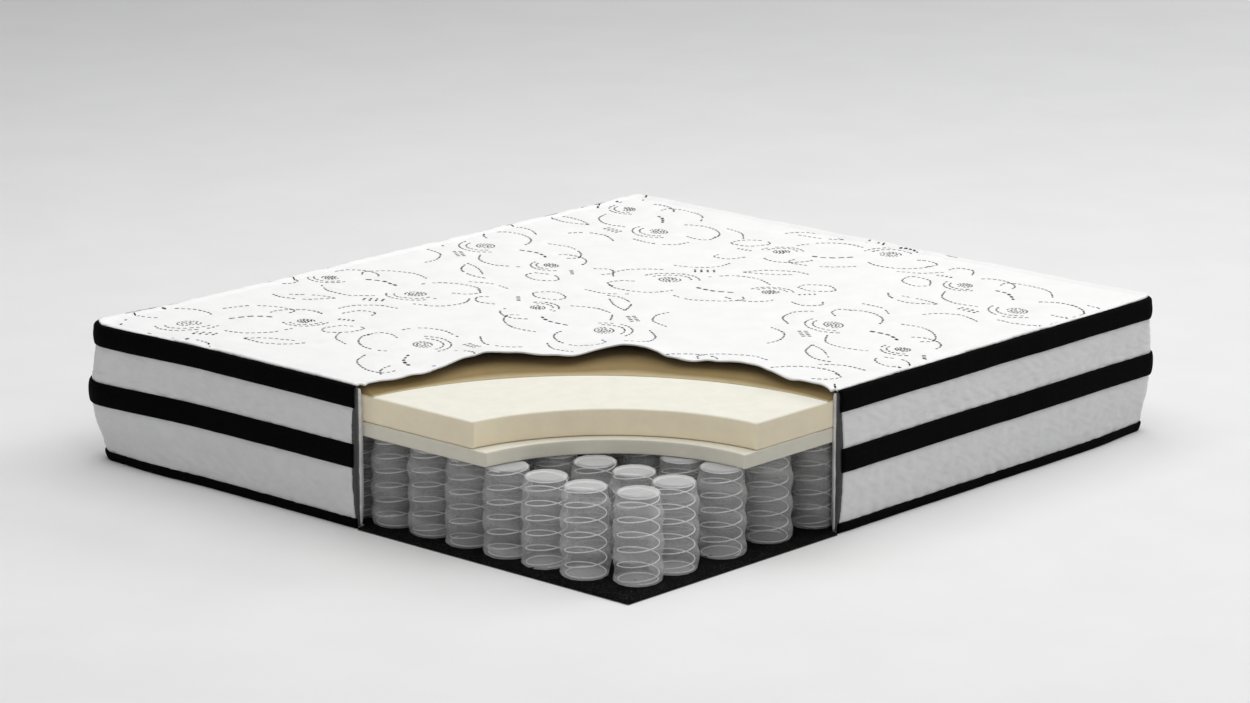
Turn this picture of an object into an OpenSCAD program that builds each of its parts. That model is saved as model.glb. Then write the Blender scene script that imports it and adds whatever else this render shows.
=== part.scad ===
// Hybrid mattress: pocketed coil springs under three slabs of foam, in a quilted cover.
// One corner is cut away down to the base sheet, so that every layer can be seen.
// Origin: centre of the underside. +X is across the bed, +Y runs along it, +Z is up.
// The cut-away corner is the one at +X, -Y.

/* [Mattress] */
// Width across the border tapes
mattress_w = 1800; // [1760:10:2000]
// Length between the border tapes
mattress_l = 2000; // [1900:10:2200]
// Radius of the upright corners
corner_r = 45; // [35:5:60]

// How far the springs let the top be pressed down
press_travel = 60; // [30:5:60]

/* [Base] */
// Thickness of the fabric under the mattress
bottom_cover_t = 2; // [1:0.5:3]
// Thickness of the felt pad that the springs stand on
felt_t = 3; // [2:0.5:6]

/* [Pocket springs] */
// Height of a pocket
pocket_h = 215; // [180:5:240]
// Mean diameter of a pocket
pocket_d = 113; // [100:1:115]
// Depth of the waves that the coils press into a pocket
pocket_wave = 2; // [0:0.5:2]
// Thickness of the pocket fabric
pocket_fabric_t = 1; // [0.8:0.1:1.5]
// Mean diameter of a coil
coil_d = 100; // [85:1:100]
// Diameter of the spring wire
wire_d = 2.6; // [2:0.1:3]
// Rise of a coil in one turn
coil_pitch = 36.5; // [30:0.5:40]
// Half turns in a coil
coil_half_turns = 10; // [6:1:10]
// How far the pocket nearest to the cut-away corner stands back
corner_pocket_back = 44; // [0:1:44]

/* [Foam] */
// Thickness of the transition foam on the springs
transition_t = 37; // [20:1:50]
// Thickness of the memory foam
memory_t = 67; // [40:1:80]
// Thickness of the comfort foam under the quilt
comfort_t = 22; // [15:1:40]

/* [Quilted top] */
// Thickness of the backing cloth of the quilt
quilt_backing_t = 1; // [0.5:0.5:2]
// Thickness of the fibre wadding in the quilt
quilt_wadding_t = 7; // [4:1:12]
// Thickness of the knitted top fabric
top_ticking_t = 2; // [1:0.5:3]

/* [Border] */
// Thickness of the border fabric
border_fabric_t = 2.5; // [1.5:0.5:4]
// Thickness of the fibre pad in the border
border_pad_t = 10; // [8:1:12]
// Thickness of the foam rail between the border and the springs
border_rail_t = 11; // [6:1:14]
// Thickness of the binding tapes
tape_t = 4; // [3:0.5:6]
// Height of the top tape and of the middle tape
tape_h = 58; // [40:2:70]
// Height of the bottom tape
bottom_tape_h = 24; // [16:2:40]
// Height of the middle tape's lower edge
mid_tape_z = 152; // [130:1:170]
// Width that the top tape turns in over the quilt
tape_lip = 12; // [8:1:20]

/* [Cut-away corner] */
// Where the border stops on the foot end, across the bed from the centre
border_cut_x = 20; // [-100:10:200]
// Where the border stops on the side, along the bed from the centre
border_cut_y = -263; // [-400:1:-100]

/* [Hidden] */
BORDER_PARTS = ["border_ticking_lower", "border_ticking_upper", "border_padding"];
RAIL_PARTS = ["rail_foot", "rail_left", "rail_head", "rail_right"];
TAPE_PARTS = ["bottom_tape", "middle_tape", "top_tape"];
FOAM_PARTS = ["transition_foam", "memory_foam", "comfort_foam"];
QUILT_PARTS = ["quilt_backing", "quilt_wadding", "top_ticking"];
rows = 12;
columns = 14;
POCKET_ROWS = [for (i = [1 : rows]) row_name("pocket_row_", i)];
coil_rows = 6;
COIL_ROWS = [for (i = [1 : coil_rows]) row_name("coil_row_", i)];

white = [0.93, 0.93, 0.92];
black = [0.06, 0.06, 0.065];
felt_grey = [0.12, 0.12, 0.12];
pad_grey = [0.30, 0.30, 0.31];
rail_grey = [0.78, 0.78, 0.76];
pocket_grey = [0.60, 0.60, 0.60];
steel = [0.80, 0.80, 0.82];
slab_white = [0.86, 0.85, 0.80];
cream = [0.93, 0.90, 0.80];
tan_foam = [0.62, 0.54, 0.40];

slip = 0.5;      // gap between the pieces that move and the pieces that stay
far = 3000;      // longer than any side of the mattress

// Levels, from the underside up
felt_z = bottom_cover_t;
pocket_z = felt_z + felt_t;
transition_z = pocket_z + pocket_h;
memory_z = transition_z + transition_t;
comfort_z = memory_z + memory_t;
backing_z = comfort_z + comfort_t;
wadding_z = backing_z + quilt_backing_t;
ticking_z = wadding_z + quilt_wadding_t;
quilt_top = ticking_z + top_ticking_t;
mattress_h = quilt_top;
top_tape_z = mattress_h - tape_h;
border_z = pocket_z;
border_top = backing_z - 4;
mid_seam_z = mid_tape_z + tape_h / 2;
rail_top = backing_z - press_travel - slip;

// Insets of the faces, from the outer face of the tapes inwards
fabric_in = tape_t + slip;
pad_in = fabric_in + border_fabric_t;
rail_in = pad_in + border_pad_t;
core_in = rail_in + border_rail_t;
slab_in = core_in + slip;
rail_inner_x = mattress_w / 2 - core_in;
rail_inner_y = mattress_l / 2 - core_in;

// Spring field
side_margin = 12.5;
end_margin = 3;
pitch_x = (mattress_w - 2 * (core_in + side_margin) - pocket_d) / (columns - 1);
pitch_y = (mattress_l - 2 * (core_in + end_margin) - pocket_d) / (rows - 1);

corner = [mattress_w / 2, -mattress_l / 2];

// The edge of the quilt around the corner, as angle round the corner and distance from it
quilt_edge = [[0, 850], [12, 862], [26, 932], [38, 868], [47, 938], [57, 842], [66, 836], [78, 762], [90, 735]];

function row_name(stem, i) = str(stem, i < 10 ? "0" : "", i);
function column_x(i) = (i - (columns - 1) / 2) * pitch_x;
function row_y(i) = (i - (rows - 1) / 2) * pitch_y;
function eased(t) = (1 - cos(180 * t)) / 2;
function edge_step(a, i = 0) = a <= quilt_edge[i + 1][0] ? i : edge_step(a, i + 1);
function edge_between(a, p, q) = p[1] + (q[1] - p[1]) * eased((a - p[0]) / (q[0] - p[0]));
function edge_distance(a) = edge_between(a, quilt_edge[edge_step(a)], quilt_edge[edge_step(a) + 1]);

// Plan of the mattress, shrunk by inset on every side
module plan(inset) {
    w = mattress_w - 2 * inset;
    l = mattress_l - 2 * inset;
    r = corner_r - inset;
    if (r > 1) {
        square([w - 2 * r, l], center = true);
        square([w, l - 2 * r], center = true);
        for (sx = [-1, 1])
            for (sy = [-1, 1])
                translate([sx * (w / 2 - r), sy * (l / 2 - r)])
                    circle(r = r, $fn = 64);
    } else {
        square([w, l], center = true);
    }
}

// Plan of the base, which keeps its square corner where the border is cut away
module base_plan() {
    plan(fabric_in);
    translate([border_cut_x, -mattress_l / 2])
        square([mattress_w / 2 - border_cut_x, mattress_l / 2 + border_cut_y]);
}

module slab(inset, z, t) {
    translate([0, 0, z])
        linear_extrude(t)
            plan(inset);
}

// A wall all round, between two insets
module wall(outer, inner, z, t) {
    translate([0, 0, z])
        linear_extrude(t)
            difference() {
                plan(outer);
                plan(inner);
            }
}

// The part of the border that is left out at the cut-away corner
module border_cut() {
    translate([border_cut_x, -far, -1])
        cube([far, far - mattress_l / 2 + 2 * corner_r, mattress_h + 2]);
    translate([mattress_w / 2 - 2 * corner_r, -far, -1])
        cube([far, far + border_cut_y, mattress_h + 2]);
}

// A round cut through a foam slab, centred near the corner and leaning back by lean
module foam_cut(dx, dy, r, z, t, lean = 0) {
    translate([corner[0] + dx, corner[1] + dy, z - 1])
        cylinder(r1 = r - lean / t, r2 = r + lean * (1 + 1 / t), h = t + 2, $fn = 180);
}

module quilt_cut() {
    step = 3;
    translate([corner[0], corner[1], backing_z - 1])
        linear_extrude(mattress_h)
            polygon(concat([[far, -far], [-edge_distance(0), -far]],
                [for (a = [0 : step : 90]) edge_distance(a) * [-cos(a), sin(a)]],
                [[far, edge_distance(90)]]));
}

// ---- Base ----

// The base is whole: the corner is cut away above it
module bottom_cover() {
    color(black)
        linear_extrude(bottom_cover_t)
            base_plan();
}

module felt_pad() {
    color(felt_grey)
        translate([0, 0, felt_z])
            linear_extrude(felt_t)
                base_plan();
}

// ---- Border ----

module border_band(z, h) {
    color(white)
        difference() {
            wall(fabric_in, pad_in, z, h);
            border_cut();
        }
}

// The two bands of border fabric meet behind the middle tape
module border_ticking_lower() {
    border_band(border_z, mid_seam_z - border_z);
}

module border_ticking_upper() {
    border_band(mid_seam_z, border_top - mid_seam_z);
}

module border_padding() {
    color(pad_grey)
        difference() {
            wall(pad_in, rail_in, border_z, border_top - border_z);
            border_cut();
        }
}

// The rails are bars of firm foam that stiffen the edge. They stop below the quilt, so that
// the top can be pressed down. Each one fills the box from one corner to the other.
module rail(from, to) {
    color(rail_grey)
        intersection() {
            slab(rail_in, border_z, rail_top - border_z);
            translate(from)
                cube([to[0] - from[0], to[1] - from[1], mattress_h]);
        }
}

module rail_foot() {
    rail([-mattress_w / 2, -mattress_l / 2], [border_cut_x, -rail_inner_y]);
}

module rail_left() {
    rail([-mattress_w / 2, -rail_inner_y], [-rail_inner_x, rail_inner_y]);
}

module rail_head() {
    rail([-mattress_w / 2, rail_inner_y], [mattress_w / 2, mattress_l / 2]);
}

module rail_right() {
    rail([rail_inner_x, border_cut_y], [mattress_w / 2, rail_inner_y]);
}

module tape(z, h, inner) {
    color(black)
        difference() {
            wall(0, inner, z, h);
            border_cut();
        }
}

module bottom_tape() {
    tape(0, bottom_tape_h, fabric_in);
}

module middle_tape() {
    tape(mid_tape_z, tape_h, fabric_in);
}

module top_tape() {
    color(black)
        difference() {
            union() {
                wall(0, tape_t, top_tape_z, tape_h);
                wall(0, tape_lip, ticking_z, top_ticking_t);
            }
            border_cut();
        }
}

// ---- Foam ----

module transition_foam() {
    color(slab_white)
        difference() {
            slab(slab_in, transition_z, transition_t);
            foam_cut(-64, 4, 419, transition_z, transition_t);
        }
}

module memory_foam() {
    color(cream)
        difference() {
            slab(slab_in, memory_z, memory_t);
            foam_cut(-30, -36, 499, memory_z, memory_t);
        }
}

module comfort_foam() {
    color(tan_foam)
        difference() {
            slab(slab_in, comfort_z, comfort_t);
            foam_cut(-89, -43, 768, comfort_z, comfort_t, 20);
        }
}

// ---- Quilted top ----

module quilt_layer(z, t, inset) {
    difference() {
        slab(inset, z, t);
        quilt_cut();
    }
}

module quilt_backing() {
    color(white)
        quilt_layer(backing_z, quilt_backing_t, tape_t);
}

module quilt_wadding() {
    color(white)
        quilt_layer(wadding_z, quilt_wadding_t, tape_t);
}

module top_ticking() {
    color(white)
        quilt_layer(ticking_z, top_ticking_t, tape_lip);
}

// ---- Pocket springs ----

corner_column = columns - 1;

function pocket_shift(row, i) = row == 1 && i == corner_column ? corner_pocket_back : 0;

function spring_place(row, i) = [column_x(i), row_y(row - 1) + pocket_shift(row, i), pocket_z];

// Radius of a pocket at a height above its foot: it swells between the turns
function pocket_r(z) = pocket_d / 2 + pocket_wave * cos(360 * (z / coil_pitch / 1.6 + 0.5));

module pocket() {
    rings = 12;
    bevel = 5;
    side = [for (i = [0 : rings])
        let (z = bevel + (pocket_h - 2 * bevel) * i / rings)
            [pocket_r(z), z]];
    foot_r = side[0][0] - bevel;
    head_r = side[rings][0] - bevel;
    t = pocket_fabric_t;
    outside = concat([[0, 0], [foot_r, 0]], side, [[head_r, pocket_h], [0, pocket_h]]);
    inner_side = [for (i = [rings : -1 : 0])
        [side[i][0] - t, side[i][1]]];
    inside = concat([[0, pocket_h - t], [head_r - t / 2, pocket_h - t]], inner_side,
        [[foot_r - t / 2, t], [0, t]]);
    rotate_extrude($fn = 48)
        polygon(concat(outside, inside));
}

module pocket_row(row) {
    color(pocket_grey)
        for (i = [0 : columns - 1])
            translate(spring_place(row, i))
                pocket();
}

// Half of one turn, as an arc of a ring that leans by half the pitch
module half_turn(z, side) {
    lean = atan(coil_pitch / 2 / coil_d);
    translate([0, 0, z])
        rotate([0, 0, 180 * side])
            rotate([0, -lean, 0])
                rotate_extrude(angle = 180, $fn = 48)
                    translate([coil_d / 2, 0])
                        circle(d = wire_d, $fn = 16);
}

module coil() {
    rise = coil_pitch / 2;
    foot = (pocket_h - coil_half_turns * rise) / 2;
    for (i = [0 : coil_half_turns - 1])
        half_turn(foot + (i + 0.5) * rise, i % 2);
}

// The coils of one row, in the quarter of the mattress that has the cut-away corner
module coil_row(row) {
    color(steel)
        for (i = [columns / 2 : columns - 1])
            translate(spring_place(row, i))
                coil();
}

bottom_cover();
felt_pad();
border_ticking_lower();
border_ticking_upper();
border_padding();
rail_foot();
rail_left();
rail_head();
rail_right();
bottom_tape();
middle_tape();
top_tape();
transition_foam();
memory_foam();
comfort_foam();
quilt_backing();
quilt_wadding();
top_ticking();
for (i = [1 : rows])
    pocket_row(i);
for (i = [1 : coil_rows])
    coil_row(i);
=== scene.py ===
"""Looks of a hybrid mattress with one corner cut away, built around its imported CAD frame.

Lengths are metres, in the CAD's own frame: the origin is the centre of the underside,
+X is across the bed, +Y along it, and the cut-away corner is the one at +X, -Y.
"""

import math
import random

import bpy
import numpy as np
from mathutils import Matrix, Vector, geometry, kdtree


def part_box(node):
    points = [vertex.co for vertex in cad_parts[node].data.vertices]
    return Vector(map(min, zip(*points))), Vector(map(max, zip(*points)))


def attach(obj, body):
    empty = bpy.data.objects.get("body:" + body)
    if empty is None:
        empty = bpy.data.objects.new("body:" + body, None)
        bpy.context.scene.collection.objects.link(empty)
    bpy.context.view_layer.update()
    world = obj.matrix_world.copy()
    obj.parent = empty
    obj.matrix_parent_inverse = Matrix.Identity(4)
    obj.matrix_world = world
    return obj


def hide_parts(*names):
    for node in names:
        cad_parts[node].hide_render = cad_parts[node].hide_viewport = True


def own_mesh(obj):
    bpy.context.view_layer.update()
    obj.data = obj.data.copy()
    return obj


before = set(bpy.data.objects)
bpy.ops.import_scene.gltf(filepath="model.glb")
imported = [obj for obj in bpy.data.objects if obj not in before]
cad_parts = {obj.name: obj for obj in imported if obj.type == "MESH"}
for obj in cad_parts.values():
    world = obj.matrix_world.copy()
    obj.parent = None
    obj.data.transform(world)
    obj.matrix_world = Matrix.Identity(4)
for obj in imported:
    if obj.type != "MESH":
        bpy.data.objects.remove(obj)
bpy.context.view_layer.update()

MM = 0.001
BASE, TOP = "base", "sleeping_top"

# ---- sizes from the frame

HALF_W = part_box("middle_tape")[1].x
HALF_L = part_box("middle_tape")[1].y
CORNER = np.array([HALF_W, -HALF_L])
CORNER_R = 45 * MM

FELT_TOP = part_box("felt_pad")[1].z
POCKET_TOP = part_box("pocket_row_05")[1].z
MEMORY_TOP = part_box("memory_foam")[1].z
COMFORT_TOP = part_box("comfort_foam")[1].z
TICKING_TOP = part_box("top_ticking")[1].z
MATTRESS_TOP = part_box("top_tape")[1].z

FABRIC_THICK = 2.5 * MM
FABRIC_IN = HALF_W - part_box("border_padding")[1].x - FABRIC_THICK
RAIL_IN = HALF_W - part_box("rail_right")[1].x
CORE_IN = HALF_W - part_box("rail_right")[0].x
SLAB_IN = HALF_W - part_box("memory_foam")[1].x
MID_LOW, MID_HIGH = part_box("middle_tape")[0].z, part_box("middle_tape")[1].z
TOP_TAPE_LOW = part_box("top_tape")[0].z
BOTTOM_TAPE_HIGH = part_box("bottom_tape")[1].z
BORDER_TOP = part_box("border_padding")[1].z
RAIL_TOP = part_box("rail_right")[1].z

BORDER_CUT_X = 20 * MM      # where the border stops on the foot end
BORDER_CUT_Y = -263 * MM    # where it stops on the side
UNDER_BORDER = 34 * MM      # how far the base sheet stays inside the border's outer face
TAPE_OVER = 10 * MM         # how far a tape covers the edge of the fabric beside it
PRESSED = TOP_TAPE_LOW + TAPE_OVER  # the height under the top tape, a tape's overlap above its lower edge, where the upper border band stops
LINING_THICK = 1.2 * MM
ROWS, COLUMNS = 12, 14

# The cut edges round the corner: angle round it in degrees, and distance from it in mm.
# Angle 0 points along -X, and 90 along +Y.
QUILT_EDGE = [(0, 879), (12, 862), (26, 932), (38, 868), (47, 938), (57, 842), (66, 836), (78, 762),
              (90, 735)]
# How far the cut edge of the quilt stands up from its bed, in mm, at the same angles
QUILT_LIFT = [(0, 0), (12, 3), (26, 12), (38, 4), (47, 14), (57, 2), (66, 4), (78, 1), (90, 0)]


# ---- numbers and curves

def eased(t):
    t = np.clip(t, 0.0, 1.0)
    return t * t * (3 - 2 * t)


def along(table, x):
    """A smooth curve through the points of a small table."""
    keys, values = np.array(table, float).T
    x = np.clip(np.asarray(x, float), keys[0], keys[-1])
    i = np.clip(np.searchsorted(keys, x, side="right") - 1, 0, len(keys) - 2)
    t = eased((x - keys[i]) / (keys[i + 1] - keys[i]))
    return values[i] + (values[i + 1] - values[i]) * t


def hump(x, middle, width):
    """1 at the middle, falling smoothly to 0 about two widths away from it."""
    return np.exp(-((x - middle) / width) ** 2)


def swell(x, y, size, seed, octaves=2):
    """Smooth wandering numbers from about -1 to 1, in patches of that size."""
    pick = np.random.RandomState(seed)
    total = np.zeros(np.broadcast(x, y).shape)
    for octave in range(octaves):
        for _ in range(7):
            angle, phase = pick.uniform(0, 2 * math.pi, 2)
            k = 2 * math.pi / size * 2 ** octave * pick.uniform(0.6, 1.4)
            total += np.sin(k * (x * math.cos(angle) + y * math.sin(angle)) + phase) / 2 ** octave
    return total / 4.6


def circle_cut(dx, dy, r, angle):
    """Distance from the corner to a circle centred (dx, dy) from it, in mm."""
    a = np.radians(angle)
    nearest = -np.cos(a) * dx + np.sin(a) * dy
    return nearest + np.sqrt(np.maximum(nearest ** 2 - dx ** 2 - dy ** 2 + r ** 2, 0))


def transition_cut(angle):
    return circle_cut(-64, 4, 419, angle) * MM


def memory_cut(angle):
    return circle_cut(-30, -36, 499, angle) * MM


def quilt_cut(angle):
    return along(QUILT_EDGE, angle) * MM


def foot_cut(angle):
    """Where the scoop in the comfort foam runs out onto the memory foam."""
    return np.minimum(circle_cut(-89, -43, 766, angle), along(QUILT_EDGE, angle) - 4) * MM


def polar(points):
    """Angle round the cut corner in degrees, and distance from it."""
    d = points - CORNER
    return np.degrees(np.arctan2(d[:, 1], -d[:, 0])), np.hypot(d[:, 0], d[:, 1])


def from_corner(angle, distance):
    a = np.radians(angle)
    return CORNER + np.stack([-np.cos(a) * distance, np.sin(a) * distance], -1)


# ---- meshes

def mesh_piece(name, verts, faces, material):
    mesh = bpy.data.meshes.new(name)
    mesh.from_pydata([tuple(v) for v in verts], [], [tuple(f) for f in faces])
    mesh.validate()
    mesh.update()
    piece = bpy.data.objects.new(name, mesh)
    bpy.context.scene.collection.objects.link(piece)
    piece.data.materials.append(material)
    mesh.polygons.foreach_set("use_smooth", [True] * len(mesh.polygons))
    return piece


def grid_faces(rows, columns, start=0, wrap=False, flip=False):
    """Quads over rows x columns points. With wrap, the last column joins the first."""
    i = np.arange(rows - 1)[:, None] * columns
    j = np.arange(columns if wrap else columns - 1)[None, :]
    k = (j + 1) % columns
    quads = np.stack([i + j, i + k, i + columns + k, i + columns + j], -1).reshape(-1, 4) + start
    return (quads[:, ::-1] if flip else quads).tolist()


def joined(name, forms, material):
    """One piece from several (points, faces) forms."""
    verts, faces, start = [], [], 0
    for v, f in forms:
        verts.append(v)
        faces += [[k + start for k in face] for face in f]
        start += len(v)
    return mesh_piece(name, np.concatenate(verts), faces, material)


def sweep(name, section, material, first=0, stop=None):
    """A closed bar along the border's path, over a range of its points. section(i) gives the
    outline at path point i, as (outward, z) pairs, anticlockwise as seen looking back."""
    steps = range(len(PATH))[first:stop]
    outlines = [section(i) for i in steps]
    count = len(outlines[0])
    rows = [np.column_stack([PATH[i] + outline[:, :1] * NORMALS[i], outline[:, 1]])
            for i, outline in zip(steps, outlines)]
    faces = grid_faces(len(rows), count, wrap=True)
    last = (len(rows) - 1) * count
    faces += [list(range(count))[::-1], list(range(last, last + count))]
    return mesh_piece(name, np.concatenate(rows), faces, material)


def tree_of(points):
    """A tree that finds the nearest of some plan points."""
    tree = kdtree.KDTree(len(points))
    for i, p in enumerate(points):
        tree.insert((p[0], p[1], 0), i)
    tree.balance()
    return tree


# ---- materials

def grey(value):
    return (value, value, value)


class Nodes:
    """A short way to write a material's node tree."""

    def __init__(self, name):
        self.material = bpy.data.materials.new(name)
        self.material.use_nodes = True
        self.tree = self.material.node_tree
        self.shader = self.tree.nodes["Principled BSDF"]
        self.place = self.tree.nodes.new("ShaderNodeTexCoord").outputs["Object"]

    def node(self, kind, settings=None, **inputs):
        made = self.tree.nodes.new("ShaderNode" + kind)
        for key, value in (settings or {}).items():
            setattr(made, key, value)
        for key, value in inputs.items():
            numbered = key[0] == "i" and key[1:].isdigit()
            socket = made.inputs[int(key[1:]) if numbered else key]
            if isinstance(value, bpy.types.NodeSocket):
                self.tree.links.new(value, socket)
            else:
                socket.default_value = value
        return made

    def link(self, output, key):
        self.tree.links.new(output, self.shader.inputs[key])

    def noise(self, scale, detail=3.0, roughness=0.55):
        return self.node("TexNoise", Vector=self.place, Scale=scale, Detail=detail,
                         Roughness=roughness).outputs["Fac"]

    def cells(self, scale, randomness=1.0):
        return self.node("TexVoronoi", Vector=self.place, Scale=scale,
                         Randomness=randomness).outputs["Distance"]

    def facing(self):
        """How far the surface faces up: 1 on top, 0 on a side and -1 underneath."""
        normal = self.node("NewGeometry").outputs["Normal"]
        return self.node("SeparateXYZ", i0=normal).outputs["Z"]

    def ramp(self, value, low, high, at=(0.35, 0.65)):
        made = self.node("ValToRGB", i0=value)
        for element, place, colour in zip(made.color_ramp.elements, at, (low, high)):
            element.position = place
            element.color = (*colour, 1)
        return made.outputs["Color"]

    def math(self, kind, a, b):
        return self.node("Math", {"operation": kind}, i0=a, i1=b).outputs[0]

    def times(self, a, b):
        return self.node("MixRGB", {"blend_type": "MULTIPLY"}, i0=1.0, i1=a, i2=b).outputs[0]

    def wave(self, scale, direction):
        return self.node("TexWave", {"bands_direction": direction}, Vector=self.place, Scale=scale,
                         Distortion=0.0).outputs["Fac"]

    def bump(self, height, distance, strength, under=None):
        inputs = {"Height": height, "Distance": distance, "Strength": strength}
        if under is not None:
            inputs["Normal"] = under
        return self.node("Bump", **inputs).outputs["Normal"]

    def finish(self, roughness, sheen=0.0, **settings):
        self.shader.inputs["Roughness"].default_value = roughness
        self.shader.inputs["Sheen Weight"].default_value = sheen
        self.shader.inputs["Sheen Roughness"].default_value = 0.5
        for key, value in settings.items():
            self.shader.inputs[key.replace("_", " ")].default_value = value
        return self.material


def cloth(name, colour, thread, roughness, sheen, shade, lumps=14.0):
    """Knitted or woven cloth: crossed threads of that width, soft lumps and a patchy tone."""
    n = Nodes(name)
    dark = tuple(c * shade for c in colour)
    n.link(n.ramp(n.noise(lumps, 4.0), dark, colour), "Base Color")
    bands = 0.5 / thread / math.pi
    weave = n.math("MULTIPLY", n.wave(bands, "X"), n.wave(bands, "Y"))
    weave = n.math("ADD", weave, n.math("MULTIPLY", n.wave(bands, "Z"), 0.5))
    fine = n.bump(weave, thread * 0.4, 0.5)
    n.link(n.bump(n.noise(380.0, 4.0), 0.0006, 0.25, fine), "Normal")
    return n.finish(roughness, sheen)


def foam(name, colour, cut, shade=0.94):
    """Open-cell foam: fine pores, a mottled tone, and painted shade: a darker tone on its sides than on
    its top, set by which way the surface faces.
    """
    n = Nodes(name)
    # Painted shade: faces that look sideways get the darker colour given as cut, and the top gets the
    # full colour.
    tone = n.ramp(n.facing(), cut, colour, (0.35, 0.85))
    mottle = n.ramp(n.noise(22.0, 5.0, 0.6), grey(shade), WHITE, (0.3, 0.7))
    n.link(n.times(tone, mottle), "Base Color")
    fine = n.bump(n.cells(420.0), 0.0007, 0.35)
    n.link(n.bump(n.noise(90.0, 6.0, 0.7), 0.001, 0.22, fine), "Normal")
    return n.finish(0.95, 0.08, Subsurface_Weight=0.06, Subsurface_Scale=0.004)


def scooped_foam(name, pale, colour):
    """Tan foam: pale at the foot of its scoop, and darkened by painted shade where it goes in under the
    quilt.
    """
    n = Nodes(name)
    depth = n.node("Attribute", {"attribute_name": "shade_under_quilt"}).outputs["Fac"]
    foot = n.ramp(depth, pale, colour, (0.0, 0.3))
    # Painted shade: the colour falls to a quarter of itself the deeper the foam runs in under the quilt.
    under = n.ramp(depth, WHITE, grey(0.25), (0.45, 1.0))
    mottle = n.ramp(n.noise(20.0, 5.0), (0.88, 0.87, 0.85), WHITE, (0.3, 0.7))
    n.link(n.times(n.times(foot, under), mottle), "Base Color")
    n.link(n.bump(n.cells(380.0), 0.0008, 0.4), "Normal")
    return n.finish(0.95, 0.05)


def pocket_cloth(name):
    """Thin spun-bonded cloth that light passes through, closer where it is gathered on top, with painted
    light making its upward faces paler.
    """
    n = Nodes(name)
    facing = n.facing()
    top = n.ramp(facing, BLACK, WHITE, (0.1, 0.95))
    foot = n.ramp(n.math("ADD", facing, 1.0), BLACK, WHITE, (0.05, 0.35))
    cloudy = n.noise(70.0, 6.0, 0.7)
    side = n.ramp(cloudy, grey(0.45), grey(0.49), (0.3, 0.7))
    # Painted light: faces that look up are painted a paler grey than the sides.
    n.link(n.node("MixRGB", i0=top, i1=side, i2=(0.70, 0.70, 0.70, 1.0)).outputs[0], "Base Color")
    see = n.math("ADD", n.math("MULTIPLY", cloudy, 0.06), n.math("MULTIPLY", n.noise(700.0, 2.0), 0.20))
    see = n.math("ADD", n.math("MULTIPLY", top, 0.26), n.math("ADD", see, 0.22))
    n.link(n.math("MULTIPLY", see, foot), "Alpha")
    fine = n.bump(n.cells(520.0, 0.15), 0.0005, 0.5)
    n.link(n.bump(n.noise(140.0, 5.0), 0.0008, 0.2, fine), "Normal")
    return n.finish(0.7, 0.1)


def mottled(name, tones, colours, grain, finish, at=(0.35, 0.65), **settings):
    """A surface of two tones in patches, with a grain that ends with its depth and strength."""
    n = Nodes(name)
    n.link(n.ramp(n.noise(*tones), *colours, at), "Base Color")
    n.link(n.bump(n.noise(*grain[:-2]), *grain[-2:]), "Normal")
    return n.finish(*finish, **settings)


def hemmed_cloth(name):
    """Black woven cloth, dark grey on its upright faces and near black on its flat ones."""
    n = Nodes(name)
    flat = n.math("ABSOLUTE", n.facing(), 0.0)
    n.link(n.ramp(flat, grey(0.14), (0.012, 0.012, 0.013), (0.3, 0.7)), "Base Color")
    n.link(n.bump(n.noise(600.0, 4.0), 0.0006, 0.5), "Normal")
    return n.finish(0.92, 0.0, Specular_IOR_Level=0.1)


def ribbed_tape(name):
    """Black binding tape with fine ribs across it."""
    n = Nodes(name)
    n.link(n.ramp(n.noise(240.0, 4.0), grey(0.0003), (0.0020, 0.0020, 0.0021)), "Base Color")
    ribs = n.math("ADD", n.wave(250.0, "X"), n.wave(250.0, "Y"))
    fine = n.bump(ribs, 0.0003, 0.5)
    n.link(n.bump(n.noise(300.0, 4.0), 0.0006, 0.35, fine), "Normal")
    return n.finish(0.85, 0.0, Specular_IOR_Level=0.04)


def fibre(name, colour, shade=0.6):
    """Loose matted fibre, for wadding and the dark border pad."""
    dark = tuple(c * shade for c in colour)
    return mottled(name, (260.0, 6.0, 0.75), (dark, colour), (420.0, 6.0, 0.8, 0.002, 0.7),
                   (0.97, 0.2), (0.35, 0.68))


BLACK, WHITE = grey(0.0), grey(1.0)

KNIT = cloth("knit", (0.93, 0.93, 0.925), 0.8 * MM, 0.88, 0.12, 0.97)
BORDER_KNIT = cloth("border_knit", grey(0.66), 0.8 * MM, 0.9, 0.05, 0.95, 26.0)
LINING = cloth("lining", (0.70, 0.70, 0.69), 0.6 * MM, 0.92, 0.05, 0.8, 40.0)
BACKING = cloth("backing", (0.88, 0.88, 0.87), 0.5 * MM, 0.92, 0.1, 0.95)
BASE_CLOTH = hemmed_cloth("base_cloth")
THREAD = cloth("motif_thread", (0.018, 0.018, 0.019), 0.4 * MM, 0.85, 0.0, 0.5, 30.0)
WADDING = fibre("wadding", (0.93, 0.93, 0.92), 0.85)
DARK_PAD = fibre("dark_pad", (0.085, 0.085, 0.09))
# The second, darker colour of each foam is the painted shade of its sides.
EDGE_FOAM = foam("edge_foam", (0.60, 0.60, 0.59), (0.50, 0.50, 0.49), 0.85)
SLAB_WHITE = foam("slab_white", (0.80, 0.77, 0.66), (0.70, 0.67, 0.57))
CREAM = foam("cream", (0.87, 0.85, 0.745), (0.87, 0.775, 0.58))
TAN = scooped_foam("tan", (0.58, 0.48, 0.29), (0.27, 0.19, 0.07))
POCKET = pocket_cloth("pocket_cloth")
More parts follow.
